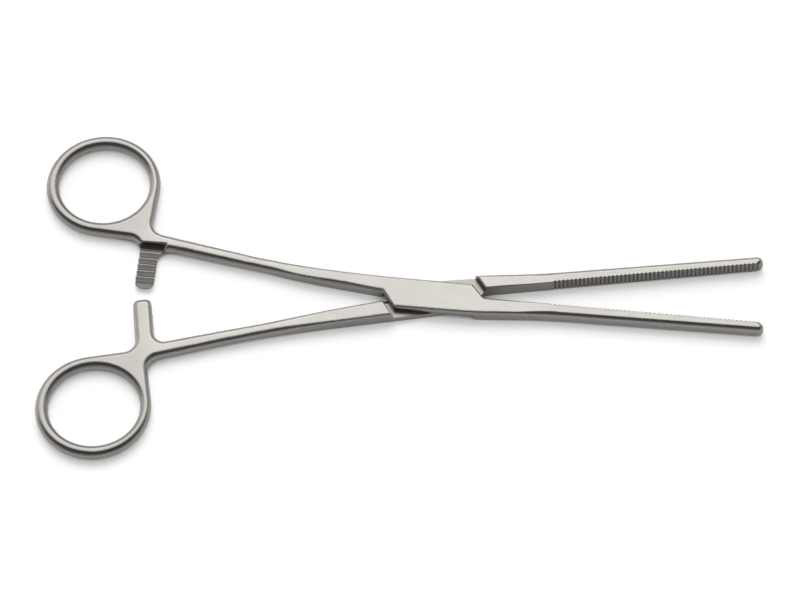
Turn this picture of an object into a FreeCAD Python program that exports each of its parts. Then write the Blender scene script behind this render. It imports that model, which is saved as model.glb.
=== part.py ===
"""Intestinal clamp, 254 mm, lap jointed.

Two forged halves cross at a riveted half-lap joint.  Each half is one piece: a finger ring, a
ratchet arm, a shank, a leaf of half thickness at the joint and a long jaw with transverse ridges.
Origin: the rivet's axis on the underside.  +X to the jaw tips, +Z up, the clamp lies flat on Z = 0.
Both halves are drawn closed, with the jaw face along the X axis, and then turned about the rivet.
"""
import FreeCAD, Part
import math
import os

V = FreeCAD.Vector
document = FreeCAD.newDocument("clamp")

# The angle between the jaw faces as the clamp lies at rest, in degrees
rest_opening = 11.6

# Finger rings.  The bore is slightly oval and lies a little towards the shank.
ring_outer_radius = 19.95
ring_wall = 4.1
bore_flattening = 0.5
bore_shift = 0.3
ring_to_shank_angle = -2.0
ring_to_arm_angle = -93.0
web_fillet = 4.5

# The lines of each half: the ring's centre, the shank's two edges with the radius of their bends,
# the edges of the leaf and the neck that they bend into, how far the arm reaches across the axis,
# the leaf's other edge and the slope of the jaw's root.  A line is a point and a slope.
# The forgings are set and ground by hand when the clamp is fitted, and so they differ a little.
top_lines = {
    "ring": (-118.99, 33.48),
    "outer": ((-94.0, 15.14), -0.175),
    "outer_bend": 345.0,
    "leaf": ((0.0, 5.34), -0.003),
    "inner": ((-89.0, 8.83), -0.14),
    "inner_bend": 350.0,
    "neck": ((-17.0, -0.26), -0.095),
    "arm_reach": 6.1,
    "leaf_inner": ((0.0, -6.4), 0.008),
    "jaw_root_slope": 0.075,
}
under_lines = {
    "ring": (-118.83, 31.89),
    "outer": ((-94.0, 14.55), -0.15),
    "outer_bend": 500.0,
    "leaf": ((0.0, 6.5), -0.04),
    "inner": ((-89.0, 8.23), -0.103),
    "inner_bend": 350.0,
    "neck": ((-17.0, 1.07), -0.085),
    "arm_reach": 8.9,
    "leaf_inner": ((0.0, -6.05), 0.008),
    "jaw_root_slope": 0.05,
}

# Joint: the shoulders that end the leaf and the walls of the recess under it.
# A shoulder or wall is its distance from the rivet's axis and its angle to the X axis.
# The handle and the jaw are drawn apart and overlap within the leaf up to leaf_middle_y.
handle_thickness = 3.8
joint_thickness = 5.2
joint_ramp_start = -62.0
joint_ramp_end = -17.0
joint_ramp_bend = 400.0
leaf_middle_y = 2.9
ring_shoulder = (13.45, 54.0)
jaw_shoulder = (13.8, 48.5)
ring_recess_wall = (15.6, 65.0)
jaw_recess_wall = (17.2, 63.5)
recess_wall_lean = 10.0
shoulder_fillet = 1.2
leaf_gap = 0.10

# Rivet, ground flush on both faces
rivet_diameter = 4.4
rivet_head_diameter = 6.0
rivet_head_height = 0.8
rivet_clearance = 0.05

# Jaws
jaw_tip_x = 115.4
jaw_tip_width = 3.45
jaw_tip_thickness = 4.9
jaw_taper_start = 45.0
jaw_width = 4.4
jaw_width_x = 40.0
jaw_back_bend = 300.0
jaw_root_bend = 100.0
jaw_gap = 0.10
tip_back_round = 1.8
tip_face_slant = 0.85
tip_face_round = 1.3

# Ridges across the jaw faces
ridge_start_x = 42.0
ridge_end_x = 113.6
ridge_pitch = 1.43
ridge_land = 0.35
ridge_depth = 0.55

# Ratchet arms and their teeth
arm_left_x = -102.8
arm_right_x = -96.1
arm_fillet = 3.5
arm_tip_round = 2.3
arm_step_y = 11.3
arm_step_right_x = -93.4
arm_floor_right_x = -94.6
arm_floor_right_y = 8.5
tooth_pitch = 2.5
tooth_depth = 0.8
tooth_hollow = 0.2
tooth_gap = 0.10
first_crest_y = 8.3
last_crest_to_tip = 3.0

# Rounding of the long edges, which is finer along the joint
ring_round = 1.85
handle_round = 1.45
joint_round = 0.5
jaw_round = 1.6
ring_round_reach = 2.04
handle_round_start = -85.0
handle_round_end = -60.0
joint_round_start = -30.0
joint_round_end = 10.0
jaw_round_start = 40.0

# Where the ring's rounding starts to become the handle's, just past the ring
ring_round_end = top_lines["ring"][0] + ring_outer_radius + ring_round_reach

middle_z = joint_thickness / 2
face_y = -jaw_gap / 2

# Levels and distances clear of the whole clamp, where blanks and cuts end
under_all = -joint_thickness
over_all = 2 * joint_thickness
beyond_all = 2 * jaw_tip_x

# What counts as no distance when edges and faces are told apart
hair = 0.01


def crossing(p, p_angle, q, q_angle):
    """Where the line through p at one angle meets the line through q at another, in degrees."""
    a, b = math.radians(p_angle), math.radians(q_angle)
    reach = (q[0] - p[0]) * math.sin(b) - (q[1] - p[1]) * math.cos(b)
    reach /= math.cos(a) * math.sin(b) - math.sin(a) * math.cos(b)
    return (p[0] + reach * math.cos(a), p[1] + reach * math.sin(a))


def angle_of(slope):
    return math.degrees(math.atan(slope))


def rounded_path(corners):
    """Edges through corners (x, y, radius): the first and last are ends, a radius of 0 stays sharp."""
    points = [V(x, y, 0) for x, y, radius in corners]
    edges = []
    here = points[0]
    for before, corner, after, spec in zip(points, points[1:], points[2:], corners[1:]):
        if spec[2] == 0:
            edges.append(Part.LineSegment(here, corner).toShape())
            here = corner
            continue
        back, ahead = (before - corner).normalize(), (after - corner).normalize()
        half_angle = back.getAngle(ahead) / 2
        bisector = (back + ahead).normalize()
        apex = corner + bisector * (spec[2] / math.sin(half_angle) - spec[2])
        arc_start = corner + back * (spec[2] / math.tan(half_angle))
        arc_end = corner + ahead * (spec[2] / math.tan(half_angle))
        edges.append(Part.LineSegment(here, arc_start).toShape())
        edges.append(Part.Arc(arc_start, apex, arc_end).toShape())
        here = arc_end
    edges.append(Part.LineSegment(here, points[-1]).toShape())
    return edges


def prism(edges, top=over_all):
    """A block from under the clamp up to a level, over a closed path."""
    face = Part.Face(Part.Wire(edges))
    face.translate(V(0, 0, under_all))
    return face.extrude(V(0, 0, top - under_all))


def polygon_prism(points, top=over_all):
    """The same over a closed list of (x, y) points."""
    closed = points + [points[0]]
    return prism(rounded_path([(x, y, 0.0) for x, y in closed]), top)


def joint_line(wall, side, lean):
    """A point on a wall of the joint, and its angle.

    side is -1 towards the rings and +1 towards the jaws, lean is -1 on a shoulder and +1 in the recess.
    """
    distance, slant = wall
    turn = math.radians(90.0 - slant)
    return (side * distance * math.cos(turn), -lean * side * distance * math.sin(turn)), lean * slant


def side_profile():
    """The side view of a half: a thin handle, a ramp up to the joint and a slow taper to the tip."""
    handle, joint, tip = handle_thickness / 2, joint_thickness / 2, jaw_tip_thickness / 2
    taper = (joint - tip) / (jaw_tip_x - jaw_taper_start)
    end = joint - taper * (beyond_all - jaw_taper_start)
    top = [(-beyond_all, handle, 0.0),
           (joint_ramp_start, handle, joint_ramp_bend),
           (joint_ramp_end, joint, joint_ramp_bend),
           (jaw_taper_start, joint, joint_ramp_bend),
           (beyond_all, end, 0.0)]
    low = [(x, -z, radius) for x, z, radius in reversed(top)]
    edges = rounded_path(top + low + [top[0]])
    body = Part.Face(Part.Wire(edges)).extrude(V(0, 0, 2 * beyond_all))
    body.rotate(V(0, 0, 0), V(1, 0, 0), 90.0)
    body.translate(V(0, beyond_all, middle_z))
    return body


def on_wall(point, wall, side, lean):
    """Whether a point lies on one of the joint's walls."""
    (x, y), angle = joint_line(wall, side, lean)
    slant = math.radians(angle)
    return abs((point.x - x) * math.sin(slant) - (point.y - y) * math.cos(slant)) < hair


def edge_radius(x):
    """The rounding of the long edges at one place along the clamp."""
    stations = [(ring_round_end, ring_round), (handle_round_start, handle_round),
                (handle_round_end, handle_round), (joint_round_start, joint_round),
                (joint_round_end, joint_round), (jaw_round_start, jaw_round)]
    if x <= ring_round_end:
        return ring_round
    for (x0, r0), (x1, r1) in zip(stations, stations[1:]):
        if x <= x1:
            return r0 + (r1 - r0) * (x - x0) / (x1 - x0)
    return jaw_round


def stands_upright(face):
    u_low, u_high, v_low, v_high = face.ParameterRange
    return abs(face.normalAt((u_low + u_high) / 2, (v_low + v_high) / 2).z) < hair


def round_long_edges(body, stays_sharp):
    """Round the top and bottom edges of a body's side walls, apart from those that stay sharp."""
    rounded = []
    for number, edge in enumerate(body.Edges, 1):
        upright = [stands_upright(face) for face in body.ancestorsOfType(edge, Part.Face)]
        middle = edge.valueAt((edge.FirstParameter + edge.LastParameter) / 2)
        if sorted(upright) == [False, True] and not stays_sharp(middle):
            ends = [edge.valueAt(edge.FirstParameter), edge.valueAt(edge.LastParameter)]
            rounded.append((number, edge_radius(ends[0].x), edge_radius(ends[1].x)))
    blank = document.addObject("Part::Feature", "blank")
    blank.Shape = body
    fillet = document.addObject("Part::Fillet", "rounded")
    fillet.Base = blank
    fillet.Edges = rounded
    document.recompute()
    return fillet.Shape


def with_angle(line):
    point, slope = line
    return point, angle_of(slope)


def handle_blank(lines):
    """Ring, ratchet arm and shank, carried on through the joint to the shoulder at the jaw."""
    a, b = math.radians(ring_to_shank_angle), math.radians(ring_to_arm_angle)
    ring_x, ring_y = lines["ring"]
    leave_ring = (ring_x + ring_outer_radius * math.cos(a), ring_y + ring_outer_radius * math.sin(a))
    meet_ring = (ring_x + ring_outer_radius * math.cos(b), ring_y + ring_outer_radius * math.sin(b))
    outer, leaf = with_angle(lines["outer"]), with_angle(lines["leaf"])
    inner, neck = with_angle(lines["inner"]), with_angle(lines["neck"])
    shoulder = joint_line(jaw_shoulder, 1, -1)
    arm_right, arm_left = ((arm_right_x, 0.0), 90.0), ((arm_left_x, 0.0), 90.0)
    ring_side = (leave_ring, ring_to_shank_angle - 90.0)
    ring_foot = (meet_ring, ring_to_arm_angle + 90.0)
    edges = rounded_path([
        leave_ring + (0.0,),
        crossing(*ring_side, *outer) + (web_fillet,),
        crossing(*outer, *leaf) + (lines["outer_bend"],),
        crossing(*leaf, *shoulder) + (0.0,),
        crossing(*shoulder, *neck) + (0.0,),
        crossing(*neck, *inner) + (lines["inner_bend"],),
        crossing(*inner, *arm_right) + (arm_fillet,),
        (arm_right_x, -lines["arm_reach"], arm_tip_round),
        (arm_left_x, -lines["arm_reach"], arm_tip_round),
        crossing(*arm_left, *ring_foot) + (web_fillet,),
        meet_ring + (0.0,),
    ])
    far_side = V(ring_x - ring_outer_radius, ring_y, 0)
    edges.append(Part.Arc(V(*meet_ring, 0), far_side, V(*leave_ring, 0)).toShape())
    bore_radius = ring_outer_radius - ring_wall
    bore_centre = V(ring_x + bore_shift, ring_y, 0)
    bore = prism([Part.Ellipse(bore_centre, bore_radius, bore_radius - bore_flattening).toShape()])
    blank = prism(edges).cut(bore).common(side_profile())
    return round_long_edges(blank, lambda point: on_wall(point, jaw_shoulder, 1, -1))


def jaw_blank(lines):
    """The jaw with the inner part of the leaf, from the shoulder at the ring side to the tip."""
    tip_line = ((jaw_tip_x, 0.0), 90.0)
    back_slope = (jaw_width - jaw_tip_width) / (jaw_tip_x - jaw_width_x)
    back = ((jaw_width_x, face_y - jaw_width), angle_of(back_slope))
    root = (back[0], angle_of(lines["jaw_root_slope"]))
    low = with_angle(lines["leaf_inner"])
    low_shoulder = joint_line(ring_shoulder, -1, -1)
    high_shoulder = joint_line(jaw_shoulder, 1, -1)
    edges = rounded_path([
        crossing(*high_shoulder, (0.0, leaf_middle_y), 0.0) + (0.0,),
        crossing(*high_shoulder, (0.0, face_y), 0.0) + (shoulder_fillet,),
        (jaw_tip_x - tip_face_slant, face_y, 0.0),
        (jaw_tip_x, face_y - tip_face_slant, tip_face_round),
        crossing(*tip_line, *back) + (tip_back_round,),
        back[0] + (jaw_back_bend,),
        crossing(*root, *low) + (jaw_root_bend,),
        crossing(*low, *low_shoulder) + (0.0,),
        crossing(*low_shoulder, (0.0, face_y), 0.0) + (0.0,),
        (0.0, leaf_middle_y, 0.0),
        crossing(*high_shoulder, (0.0, leaf_middle_y), 0.0) + (0.0,),
    ])
    blank = prism(edges).common(side_profile())
    return round_long_edges(blank, lambda point: point.y > face_y - hair
                            or on_wall(point, ring_shoulder, -1, -1))


def recess_corners(z):
    """The corners of the recess at one level.  Its end walls lean inwards from the outer face."""
    inwards = z * math.tan(math.radians(recess_wall_lean))
    by_ring = joint_line((ring_recess_wall[0] - inwards, ring_recess_wall[1]), -1, 1)
    by_jaw = joint_line((jaw_recess_wall[0] - inwards, jaw_recess_wall[1]), 1, 1)
    above, below = ((0.0, ring_outer_radius), 0.0), ((0.0, -ring_outer_radius), 0.0)
    corners = [crossing(*by_ring, *above), crossing(*by_jaw, *above),
               crossing(*by_jaw, *below), crossing(*by_ring, *below)]
    return [V(x, y, z) for x, y in corners]


def joint_recess():
    """The room under the leaf, in which the other half's leaf turns."""
    low, high = recess_corners(under_all), recess_corners(middle_z + leaf_gap / 2)
    loops = [low, high] + list(zip(low, low[1:] + low[:1], high[1:] + high[:1], high))
    faces = [Part.Face(Part.makePolygon(list(loop) + [loop[0]])) for loop in loops]
    return Part.Solid(Part.Shell(faces))


def in_arm(y, z):
    return V(arm_left_x - arm_step_y, y, z)


def ratchet_cut(arm_reach):
    """What is milled off the top of an arm: a step, a flat floor and a row of sawteeth.

    Each tooth is steep towards its own ring and hollow on the slope towards the arm's tip.
    """
    crest_z = middle_z - tooth_gap / 2
    valley_z = crest_z - tooth_depth
    tooth_count = int((first_crest_y + arm_reach - last_crest_to_tip) / tooth_pitch) + 1
    crests = [first_crest_y - tooth * tooth_pitch for tooth in range(tooth_count)]
    last_foot = crests[-1] - tooth_pitch
    path = [(last_foot, valley_z), (-2 * arm_reach, valley_z), (-2 * arm_reach, over_all),
            (arm_step_y, over_all), (arm_step_y, valley_z), (crests[0], valley_z)]
    edges = [Part.LineSegment(in_arm(*p), in_arm(*q)).toShape() for p, q in zip(path, path[1:])]
    for crest_y in crests:
        crest, foot = in_arm(crest_y, crest_z), in_arm(crest_y - tooth_pitch, valley_z)
        hollow = in_arm(crest_y - tooth_pitch / 2, crest_z - tooth_depth / 2 - tooth_hollow)
        edges.append(Part.LineSegment(in_arm(crest_y, valley_z), crest).toShape())
        edges.append(Part.Arc(crest, hollow, foot).toShape())
    cut = Part.Face(Part.Wire(edges)).extrude(V(beyond_all, 0, 0))
    plan = [(arm_left_x - arm_step_y, arm_step_y), (arm_step_right_x, arm_step_y),
            (arm_floor_right_x, arm_floor_right_y), (arm_floor_right_x, -beyond_all),
            (arm_left_x - arm_step_y, -beyond_all)]
    return cut.common(polygon_prism(plan))


def jaw_ridges(shift):
    """The grooves that leave transverse ridges on a jaw face; the two jaws' ridges are staggered."""
    width = ridge_pitch - ridge_land
    count = int((ridge_end_x - ridge_start_x) / ridge_pitch)
    grooves = []
    for number in range(count):
        x = ridge_start_x + shift + number * ridge_pitch
        plan = [(x, face_y), (x + width / 2, face_y - ridge_depth), (x + width, face_y),
                (x + width, jaw_width), (x, jaw_width)]
        grooves.append(polygon_prism(plan))
    return Part.makeCompound(grooves)


def rivet_body(clearance):
    """The rivet's own form, or with a clearance the hole that it turns in."""
    shank, head = rivet_diameter / 2 + clearance, rivet_head_diameter / 2 + clearance
    profile = [(0, 0), (head, 0), (shank, rivet_head_height),
               (shank, joint_thickness - rivet_head_height), (head, joint_thickness),
               (0, joint_thickness), (0, 0)]
    wire = Part.makePolygon([V(x, 0, z) for x, z in profile])
    return Part.Face(wire).revolve(V(0, 0, 0), V(0, 0, 1), 360)


def closed_half(lines, hole_clearance, ridge_shift):
    """One half of the closed clamp, with its leaf on top and its ring on +Y."""
    half = handle_blank(lines).fuse(jaw_blank(lines)).removeSplitter()
    half = half.cut([joint_recess(), ratchet_cut(lines["arm_reach"]), rivet_body(hole_clearance)])
    return half.cut(jaw_ridges(ridge_shift))


def turned(shape, angle):
    shape = shape.copy()
    shape.rotate(V(0, 0, 0), V(0, 0, 1), angle)
    return shape


def top_half():
    return turned(closed_half(top_lines, 0.0, 0.0), -rest_opening / 2)


def under_half():
    half = closed_half(under_lines, rivet_clearance, ridge_pitch / 2)
    half.rotate(V(0, 0, middle_z), V(1, 0, 0), 180.0)
    return turned(half, rest_opening / 2)


os.makedirs("parts", exist_ok=True)
parts = {"top_half": top_half(), "under_half": under_half(), "pivot_rivet": rivet_body(0.0)}
for name, shape in parts.items():
    solid = shape.Solids[0]
    print(name, len(shape.Solids), shape.isValid(), round(solid.Volume, 1), len(solid.Faces))
    solid.exportStep("parts/" + name + ".step")
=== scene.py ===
"""A long intestinal clamp in satin steel, lying open on a white sheet under a soft studio light."""
import math

import bpy
from mathutils import Matrix, Vector


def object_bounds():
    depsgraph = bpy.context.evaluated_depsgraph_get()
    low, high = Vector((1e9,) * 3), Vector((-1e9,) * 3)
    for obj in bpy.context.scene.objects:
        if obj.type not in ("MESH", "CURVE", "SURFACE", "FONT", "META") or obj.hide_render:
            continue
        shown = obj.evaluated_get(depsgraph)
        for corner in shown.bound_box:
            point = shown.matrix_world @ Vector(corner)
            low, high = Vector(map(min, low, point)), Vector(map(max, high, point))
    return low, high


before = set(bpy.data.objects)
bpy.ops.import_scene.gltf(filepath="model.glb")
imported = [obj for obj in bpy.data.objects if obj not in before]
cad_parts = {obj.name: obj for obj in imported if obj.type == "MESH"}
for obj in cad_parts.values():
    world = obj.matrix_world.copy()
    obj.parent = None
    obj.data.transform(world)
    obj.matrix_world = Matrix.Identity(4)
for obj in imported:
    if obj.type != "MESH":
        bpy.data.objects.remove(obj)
clamp_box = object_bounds()

# Camera.  A long lens stands well above the near side of the clamp, as for a catalogue picture,
# and looks at a point just behind the joint.  It is turned a little about its own line of sight.
looks_at = Vector((-0.01046, -0.00206, 0.0052))
camera_distance = 2.363
camera_height_angle = math.radians(59.34)
camera_side_angle = math.radians(4.51)
camera_roll = math.radians(-4.0)

lens = bpy.data.cameras.new("long_lens")
lens.sensor_width = 36.0
lens.lens = 308.36
lens.clip_end = 20.0
camera = bpy.data.objects.new("camera", lens)
bpy.context.collection.objects.link(camera)
aim = (Matrix.Rotation(camera_side_angle, 4, "Z")
       @ Matrix.Rotation(math.pi / 2 - camera_height_angle, 4, "X")
       @ Matrix.Rotation(camera_roll, 4, "Z"))
set_back = Matrix.Translation((0, 0, camera_distance))
camera.matrix_world = Matrix.Translation(looks_at) @ aim @ set_back
bpy.context.scene.camera = camera
bpy.context.scene.view_settings.view_transform = "Standard"


# Studio.  A round white screen hangs high behind the clamp, and the room on the camera's side is
# dark.  A black card in front, which only metal shows, draws the dark line along each near bevel.
# The sheet is lit by a lower screen of its own, and the right-hand wall is darker than the left.
def new_node(tree, kind, *in_order, **by_name):
    """Add a node.  Its inputs are given in order or by name, and its properties by name.

    An input takes a number or the output of another node.
    """
    node = tree.nodes.new(kind)
    inputs = dict(enumerate(in_order))
    for name, value in by_name.items():
        if hasattr(node, name):
            setattr(node, name, value)
        else:
            inputs[name.replace("_", " ")] = value
    for key, value in inputs.items():
        if isinstance(value, bpy.types.NodeSocket):
            tree.links.new(value, node.inputs[key])
        else:
            node.inputs[key].default_value = value
    return node


def ramp(tree, value, low, high, to_low=0.0, to_high=1.0):
    """A soft step of a value from one level to another."""
    step = new_node(tree, "ShaderNodeMapRange", interpolation_type="SMOOTHSTEP", Value=value,
                    From_Min=low, From_Max=high, To_Min=to_low, To_Max=to_high)
    return step.outputs["Result"]


def blend(tree, factor, first, second):
    """Two greys or numbers blended by a factor."""
    return new_node(tree, "ShaderNodeMix", Factor=factor, A=first, B=second).outputs["Result"]


def maths(tree, operation, *numbers):
    """One sum on numbers."""
    return new_node(tree, "ShaderNodeMath", *numbers, operation=operation).outputs["Value"]


def vector_maths(tree, operation, *vectors):
    """One sum on vectors, which gives a number or a vector."""
    gives = "Value" if operation in ("DOT_PRODUCT", "LENGTH") else "Vector"
    return new_node(tree, "ShaderNodeVectorMath", *vectors, operation=operation).outputs[gives]


room = bpy.data.worlds.new("studio")
room.use_nodes = True
room_tree = room.node_tree
room_tree.nodes.clear()
rays = new_node(room_tree, "ShaderNodeLightPath")
in_metal = rays.outputs["Is Glossy Ray"]
on_paper = rays.outputs["Is Diffuse Ray"]

# A place in the room is a direction from the clamp: how much it points right, back and up
direction = new_node(room_tree, "ShaderNodeTexCoord").outputs["Generated"]
to_right, to_back, to_top = new_node(room_tree, "ShaderNodeSeparateXYZ", direction).outputs

# The walls: from left to right, and a share of that low at the back
side_wall_span, left_wall_light, right_wall_light = (-0.35, 0.35), 0.85, 0.50
back_wall_span, low_back_wall_share = (0.62, 0.90), 0.65
side_walls = ramp(room_tree, to_right, *side_wall_span, left_wall_light, right_wall_light)
back_wall_share = ramp(room_tree, to_back, *back_wall_span, 1.0, low_back_wall_share)
metal_walls = maths(room_tree, "MULTIPLY", side_walls, back_wall_share)
paper_walls_light = 0.35
walls = blend(room_tree, on_paper, metal_walls, paper_walls_light)

# The front: the black card above, a paler wall below it, and where both give way to the rest
card_foot_span, black_card_light, low_front_wall_light = (0.68, 0.38), 0.07, 0.42
front_wall = ramp(room_tree, to_top, *card_foot_span, black_card_light, low_front_wall_light)
front_ends = blend(room_tree, in_metal, -0.40, 0.22)
back_begins = blend(room_tree, in_metal, -0.10, 0.42)
behind = ramp(room_tree, to_back, front_ends, back_begins)


def round_screen(height, outer, inner):
    """A round screen behind the clamp, by its middle's height and its soft edge, in degrees."""
    height, outer, inner = map(math.radians, (height, outer, inner))
    middle = (0.0, math.cos(height), math.sin(height))
    nearness = vector_maths(room_tree, "DOT_PRODUCT", direction, middle)
    return ramp(room_tree, nearness, math.cos(outer), math.cos(inner))


metal_screen = round_screen(61.0, 27.0, 17.0)
paper_screen = round_screen(55.0, 28.0, 16.0)
screen = blend(room_tree, on_paper, metal_screen, paper_screen)
screen_span, screen_top_light, screen_foot_light = (0.44, 0.66), 1.45, 1.95
metal_light = ramp(room_tree, to_back, *screen_span, screen_top_light, screen_foot_light)
paper_light = 5.9
screen_light = blend(room_tree, on_paper, metal_light, paper_light)
back_light = blend(room_tree, screen, walls, screen_light)
room_light = blend(room_tree, behind, front_wall, back_light)
sky = new_node(room_tree, "ShaderNodeBackground", Color=room_light)
new_node(room_tree, "ShaderNodeOutputWorld", Surface=sky.outputs["Background"])
bpy.context.scene.world = room

# White sheet.  The clamp lies on plain white paper, which stays a hair below it.  The paper is a
# matte white that keeps the clamp's shadow, and it glows to full white away from the steel; near
# and under the steel the glow fades, a painted shadow over the real one.
sheet_size = 6.0
sheet_drop = 0.00005
sheet_mesh = bpy.data.meshes.new("white_sheet")
reach = sheet_size / 2
corners = [(-reach, -reach, 0.0), (reach, -reach, 0.0), (reach, reach, 0.0), (-reach, reach, 0.0)]
sheet_mesh.from_pydata(corners, [], [(0, 1, 2, 3)])
white_sheet = bpy.data.objects.new("white_sheet", sheet_mesh)
white_sheet.location.z = clamp_box[0][2] - sheet_drop
bpy.context.collection.objects.link(white_sheet)

paper = bpy.data.materials.new("white_paper")
paper.use_nodes = True
paper_tree = paper.node_tree
paper_tree.nodes.clear()
paper_white, glow_white = (0.8, 0.8, 0.8, 1.0), (1.0, 1.0, 1.0, 1.0)
matte = new_node(paper_tree, "ShaderNodeBsdfDiffuse", Color=paper_white)
# Painted shadow: the glow fades where ambient occlusion finds the steel close by
painted_shadow_reach, painted_shadow_span, full_glow = 0.006, (0.22, 0.52), 0.40
open_above = new_node(paper_tree, "ShaderNodeAmbientOcclusion", samples=12, Distance=painted_shadow_reach)
glow_with_painted_shadow = ramp(paper_tree, open_above.outputs["AO"], *painted_shadow_span, 0.0, full_glow)
glow = new_node(paper_tree, "ShaderNodeEmission", Color=glow_white, Strength=glow_with_painted_shadow)
glowing = new_node(paper_tree, "ShaderNodeAddShader", matte.outputs["BSDF"],
                   glow.outputs["Emission"])
seen = new_node(paper_tree, "ShaderNodeLightPath").outputs
seen_or_mirrored = maths(paper_tree, "MAXIMUM", seen["Is Camera Ray"], seen["Is Glossy Ray"])
shows_white = maths(paper_tree, "MAXIMUM", seen_or_mirrored, seen["Is Transmission Ray"])
white = new_node(paper_tree, "ShaderNodeMixShader", shows_white, matte.outputs["BSDF"],
                 glowing.outputs["Shader"])
new_node(paper_tree, "ShaderNodeOutputMaterial", Surface=white.outputs["Shader"])
sheet_mesh.materials.append(paper)

# Top half.  One forging of stainless steel: a finger ring, a ratchet arm whose teeth face up, a
# shank, the joint's upper leaf and a serrated jaw.  Its flats are ground and brushed, its side
# walls are blasted and rougher and carry painted shade that makes them darker, and its teeth, jaw
# face and recess floor are duller, as milled.  The teeth carry painted highlights on their crests
# and painted shade on their floors, and the jaw face keeps the walls' painted shade.
joint_middle = 0.0026
steel_tint = {"Red": 1.0, "Green": 0.96, "Blue": 0.905}

# How bright and how rough each finish is.  The walls' and the jaw face's brightness is painted
# shade, and the teeth's is painted shade on their floors and a painted highlight on their crests.
flat_bright, ring_share, flat_rough = (0.465, 0.495), 0.88, (0.20, 0.29)
wall_painted_shade, wall_rough = 0.26, 0.34
tooth_floor_painted_shade, tooth_crest_painted_highlight, tooth_rough = 0.26, 0.95, 0.43
jaw_face_painted_shade, jaw_face_rough = 0.27, 0.50
recess_rough = 0.36

# The streaks, the grain and the clouds per metre, and the depth and strength of the relief
streaks_per_metre, streak_stretch = 5000.0, 0.03
grains_per_metre = 3500.0
clouds_per_metre = 90.0
relief_depth, wall_relief, flat_relief = 0.00001, 0.03, 0.14

# How far the edges are broken, and where the flush rivet's outline is kept whole
ring_edge, shank_edge, jaw_edge = 0.0009, 0.0013, 0.0005
tooth_edge, recess_edge, jaw_face_edge = 0.0003, 0.0002, 0.0001
rivet_place = (0.0034, 0.0044)

# Where one finish gives way to the next: along the clamp, and in height from its middle
ring_brushing = (-0.090, -0.102)
ring_dulling = (-0.094, -0.104)
arm_milling = (-0.080, -0.084)
jaw_ridges = (0.014, 0.018)
jaw_begins = (0.020, 0.040)
arm_floor_height, arm_floor_blend = 0.0005, 0.0003
recess_margin = 0.0002

# How level a surface is, from 0 for a wall to 1 for a flat, where one finish gives way to the next,
# and where painted shade and painted highlights begin
wall_levels = (0.75, 0.30)
recess_levels = (0.8, 0.95)
tooth_highlight_levels = (0.985, 0.955)
relief_levels = (0.85, 0.99)


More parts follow.
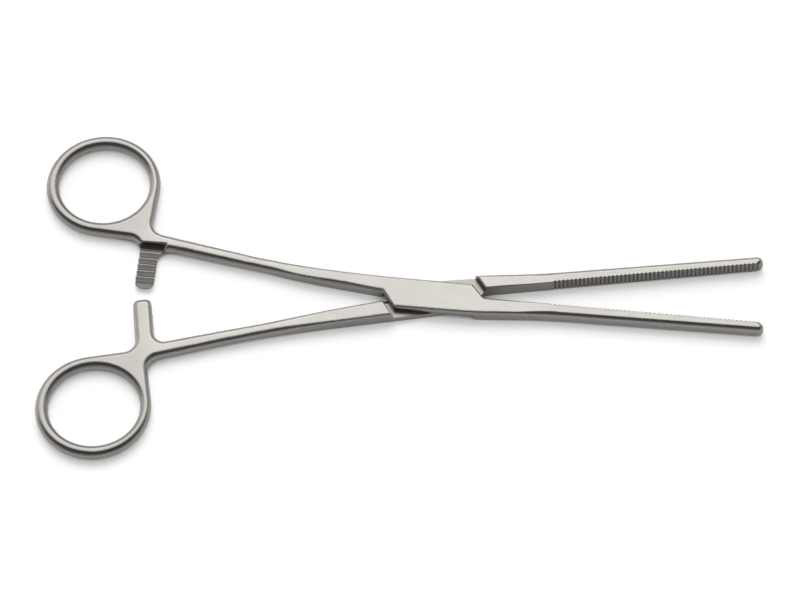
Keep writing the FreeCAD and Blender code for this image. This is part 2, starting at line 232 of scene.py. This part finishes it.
def satin_steel(name, ring_centre, jaw_face, teeth_side):
    """Satin steel for one piece.

    ring_centre is the place that the brushing runs around, jaw_face the direction that the milled
    face of the jaw looks in, and teeth_side is 1 where the arm's teeth face up and -1 where down.
    """
    material = bpy.data.materials.new(name)
    material.use_nodes = True
    tree = material.node_tree
    coords = new_node(tree, "ShaderNodeTexCoord")
    spot = coords.outputs["Object"]
    normal = coords.outputs["Normal"]
    along, _, height = new_node(tree, "ShaderNodeSeparateXYZ", spot).outputs
    facing = new_node(tree, "ShaderNodeSeparateXYZ", normal)
    level = maths(tree, "ABSOLUTE", facing.outputs["Z"])

    # Brushing: fine streaks, stretched along the shank and jaw and wrapped around the ring
    from_ring = vector_maths(tree, "LENGTH", vector_maths(tree, "SUBTRACT", spot, ring_centre))
    around = new_node(tree, "ShaderNodeCombineXYZ", Y=from_ring)
    straight = vector_maths(tree, "MULTIPLY", spot, (streak_stretch, 1.0, 1.0))
    by_ring = ramp(tree, along, *ring_brushing)
    brushed = new_node(tree, "ShaderNodeMix", data_type="VECTOR", Factor=by_ring)
    tree.links.new(straight, brushed.inputs[4])
    tree.links.new(around.outputs["Vector"], brushed.inputs[5])
    streaks = new_node(tree, "ShaderNodeTexNoise", Vector=brushed.outputs[1],
                       Scale=streaks_per_metre, Detail=4.0, Roughness=0.6).outputs["Fac"]
    grain = new_node(tree, "ShaderNodeTexNoise", Vector=spot, Scale=grains_per_metre,
                     Detail=3.0).outputs["Fac"]
    clouds = new_node(tree, "ShaderNodeTexNoise", Vector=spot, Scale=clouds_per_metre,
                      Detail=3.0).outputs["Fac"]

    # Where each finish lies: the side walls, the jaw's milled face, the arm's milled side and the
    # floor of the recess, which is at the joint's middle.  The walls, the jaw face and the arm's
    # teeth also take painted shade and painted highlights there.
    on_wall = ramp(tree, level, *wall_levels)
    faces_jaw = vector_maths(tree, "DOT_PRODUCT", normal, jaw_face)
    on_jaw = maths(tree, "MULTIPLY", ramp(tree, faces_jaw, 0.45, 0.65),
                   ramp(tree, along, *jaw_ridges))
    faces_teeth = vector_maths(tree, "DOT_PRODUCT", normal, (0.0, 0.0, teeth_side))
    arm_floor = teeth_side * joint_middle + arm_floor_height
    cut_down = ramp(tree, maths(tree, "MULTIPLY", height, teeth_side), arm_floor,
                    arm_floor - arm_floor_blend)
    milled_side = maths(tree, "MULTIPLY", cut_down, ramp(tree, faces_teeth, 0.3, 0.6))
    on_arm = maths(tree, "MULTIPLY", milled_side, ramp(tree, along, *arm_milling))
    at_middle = maths(tree, "COMPARE", height, joint_middle, recess_margin)
    in_recess = maths(tree, "MULTIPLY", at_middle, ramp(tree, level, *recess_levels))

    # Colour and roughness of each finish, a little uneven on the flats, with painted shade on the
    # walls and the jaw face, and painted highlights and painted shade on the teeth
    bright = maths(tree, "MULTIPLY", ramp(tree, clouds, 0.3, 0.7, *flat_bright),
                   ramp(tree, along, *ring_dulling, 1.0, ring_share))
    # Painted shade: the side walls darker than the flats
    bright = blend(tree, on_wall, bright, wall_painted_shade)
    # Painted light on the teeth: a painted highlight on each crest, painted shade on the floors
    teeth_painted_light = ramp(tree, level, *tooth_highlight_levels, tooth_floor_painted_shade, tooth_crest_painted_highlight)
    bright = blend(tree, on_arm, bright, teeth_painted_light)
    # The jaw face keeps about the walls' painted shade, with its own milled roughness
    bright = blend(tree, on_jaw, bright, jaw_face_painted_shade)
    tinted = {channel: maths(tree, "MULTIPLY", bright, share)
              for channel, share in steel_tint.items()}
    colour = new_node(tree, "ShaderNodeCombineColor", **tinted)
    rough = ramp(tree, streaks, 0.35, 0.65, *flat_rough)
    rough = blend(tree, on_wall, rough, wall_rough)
    rough = blend(tree, in_recess, rough, recess_rough)
    rough = blend(tree, on_arm, rough, tooth_rough)
    rough = blend(tree, on_jaw, rough, jaw_face_rough)

    # Relief: the streaks on the flats and a fine grain elsewhere, over slightly broken edges
    from_axis = vector_maths(tree, "LENGTH", vector_maths(tree, "MULTIPLY", spot, (1.0, 1.0, 0.0)))
    edge = blend(tree, by_ring, ramp(tree, along, *jaw_begins, shank_edge, jaw_edge), ring_edge)
    edge = maths(tree, "MULTIPLY", edge, ramp(tree, from_axis, *rivet_place))
    edge = blend(tree, in_recess, edge, recess_edge)
    edge = blend(tree, on_arm, edge, tooth_edge)
    edge = blend(tree, on_jaw, edge, jaw_face_edge)
    broken_edges = new_node(tree, "ShaderNodeBevel", samples=8, Radius=edge)
    strength = ramp(tree, level, *relief_levels, wall_relief, flat_relief)
    relief = new_node(tree, "ShaderNodeBump", Distance=relief_depth, Strength=strength,
                      Height=blend(tree, on_wall, streaks, grain),
                      Normal=broken_edges.outputs["Normal"])

    steel = tree.nodes["Principled BSDF"]
    steel.inputs["Metallic"].default_value = 1.0
    tree.links.new(colour.outputs["Color"], steel.inputs["Base Color"])
    tree.links.new(rough, steel.inputs["Roughness"])
    tree.links.new(relief.outputs["Normal"], steel.inputs["Normal"])
    return material


def finish(node, steel):
    """Give a piece its steel all over."""
    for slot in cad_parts[node].material_slots:
        slot.material = steel


half_opening = math.radians(5.8)
top_ring_centre = (-0.1147, 0.0453, joint_middle)
top_jaw_face = (math.sin(half_opening), math.cos(half_opening), 0.0)
finish("top_half", satin_steel("top_half_steel", top_ring_centre, top_jaw_face, 1.0))

# Under half.  The other forging, with its own ring, a longer ratchet arm whose teeth face down,
# its shank, the joint's lower leaf and the second jaw.  It is finished as the top half is.
under_ring_centre = (-0.1147, -0.0437, joint_middle)
under_jaw_face = (math.sin(half_opening), -math.cos(half_opening), 0.0)
finish("under_half", satin_steel("under_half_steel", under_ring_centre, under_jaw_face, -1.0))

# Pivot rivet.  A plain steel rivet, pressed through the middle of both leaves, with its heads
# ground flush and brushed together with the leaves, so that it hardly shows.
rivet_centre = (0.0, 0.0, 0.0)
rivet_top = (0.0, 0.0, 1.0)
finish("pivot_rivet", satin_steel("pivot_rivet_steel", rivet_centre, rivet_top, 1.0))
